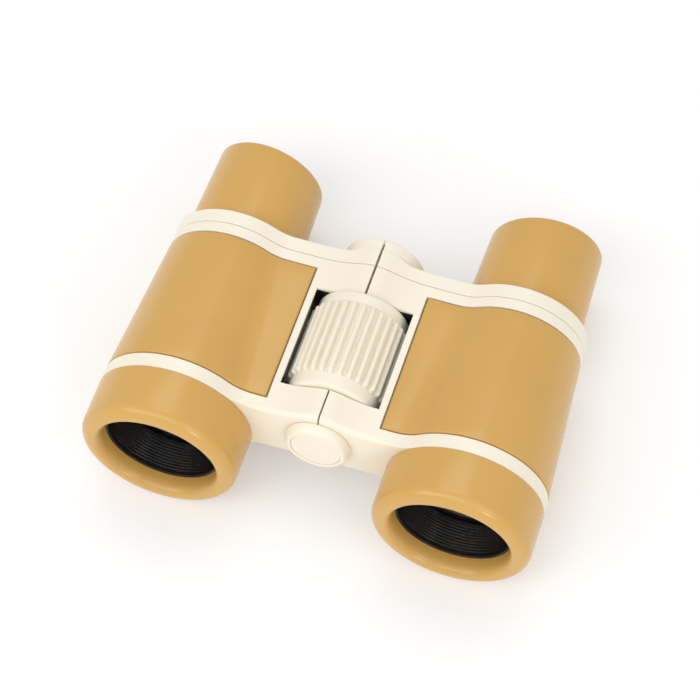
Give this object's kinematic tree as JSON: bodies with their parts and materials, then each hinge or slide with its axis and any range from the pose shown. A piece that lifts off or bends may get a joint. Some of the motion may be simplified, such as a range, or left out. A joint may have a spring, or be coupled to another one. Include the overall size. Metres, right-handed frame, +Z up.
{
  "type": "toy binoculars",
  "caption": "Folding toy binoculars with mustard grips, cream body halves, a ribbed centre focus wheel and sliding eyepieces.",
  "frame": {"origin": "under the middle of the object, on the plane that the objective rings touch", "axes": "+X across the barrels to the right half, +Y from the objectives to the eyepieces, +Z up"},
  "size_m": [0.1, 0.0784, 0.035],
  "materials": {
    "cream_plastic": "satin",
    "mustard_plastic": "fine satin",
    "black_plastic": "matte",
    "clear_lens": "polished",
    "steel": "plain"
  },
  "bodies": {
    "left_half": {"left_body": "cream_plastic", "left_grip_panel": "mustard_plastic", "left_objective_ring": "mustard_plastic", "left_objective_cell": "black_plastic", "left_objective_lens": "clear_lens", "left_objective_retainer": "black_plastic", "hinge_boss": "cream_plastic", "boss_cover": "cream_plastic", "rear_hinge_bush": "black_plastic"},
    "right_half": {"right_body": "cream_plastic", "right_grip_panel": "mustard_plastic", "right_objective_ring": "mustard_plastic", "right_objective_cell": "black_plastic", "right_objective_lens": "clear_lens", "right_objective_retainer": "black_plastic"},
    "focus": {"focus_wheel": "cream_plastic", "focus_spindle": "steel", "spindle_screw": "steel", "spindle_washer": "steel"},
    "left_carriage": {"left_bridge": "cream_plastic", "left_eyepiece": "mustard_plastic", "left_draw_tube": "black_plastic", "left_eye_lens": "clear_lens", "left_eye_retainer": "black_plastic", "focus_nut": "black_plastic", "rear_cap": "cream_plastic"},
    "right_carriage": {"right_bridge": "cream_plastic", "right_eyepiece": "mustard_plastic", "right_draw_tube": "black_plastic", "right_eye_lens": "clear_lens", "right_eye_retainer": "black_plastic"}
  },
  "joints": [
    {"name": "fold", "type": "hinge", "parent": "left_half", "child": "right_half", "pos_m": [0, 0, 0.022], "axis": [0, 1, 0], "range_deg": [0, 45]},
    {"name": "focus_turn", "type": "hinge", "parent": "left_half", "child": "focus", "pos_m": [0, 0, 0.022], "axis": [0, -1, 0], "range_deg": [0, 360]},
    {"name": "left_focus_slide", "type": "slide", "parent": "left_half", "child": "left_carriage", "axis": [0, 1, 0], "range_m": [0, 0.005]},
    {"name": "right_focus_slide", "type": "slide", "parent": "right_half", "child": "right_carriage", "axis": [0, 1, 0], "range_m": [0, 0.005]}
  ],
  "couplings": [
    {"joint": "focus_turn", "follows": "left_focus_slide", "rad_per_m": 1256.6},
    {"joint": "right_focus_slide", "follows": "left_focus_slide", "ratio": 1}
  ]
}
